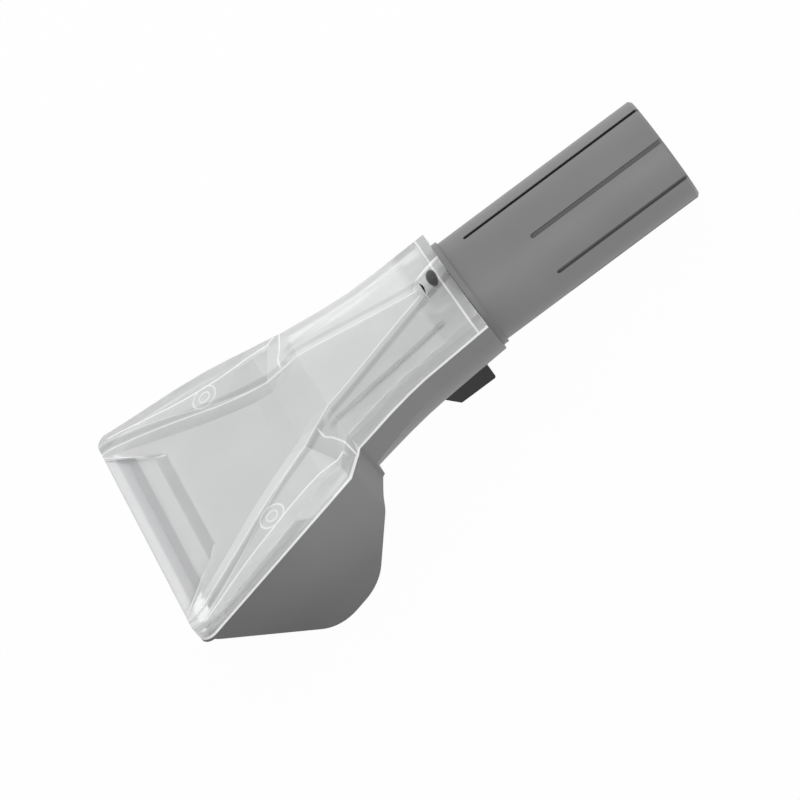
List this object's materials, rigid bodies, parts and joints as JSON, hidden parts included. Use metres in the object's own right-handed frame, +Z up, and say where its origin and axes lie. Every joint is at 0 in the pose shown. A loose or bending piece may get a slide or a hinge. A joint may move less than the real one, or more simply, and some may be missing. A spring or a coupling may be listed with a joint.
{
  "type": "vacuum upholstery nozzle",
  "caption": "Hand nozzle that sprays and sucks upholstery clean: tube, clear fan-shaped duct cover, open spray hood.",
  "frame": {"origin": "middle of the nozzle's box, on the surface that it lies on", "axes": "+Y along the nozzle towards the connecting tube, +Z up through the clear cover, X across the mouth"},
  "size_m": [0.107, 0.1942, 0.0438],
  "materials": {
    "grey_shell": "satin",
    "clear_cover": "gloss",
    "black_socket": "satin",
    "screw_steel": "satin",
    "seal_rubber": "matte",
    "pipe_plastic": "satin",
    "jet_plastic": "satin",
    "jet_brass": "satin"
  },
  "bodies": {
    "root": {"body": "grey_shell", "cover": "clear_cover", "cover_screws": "screw_steel", "spray_coupling": "black_socket", "coupling_seal": "seal_rubber", "feed_pipe": "pipe_plastic", "jet_holder": "jet_plastic", "jet_seal": "seal_rubber", "jet_strainer": "pipe_plastic", "spray_jet": "jet_brass", "jet_nut": "jet_plastic"}
  },
  "joints": []
}
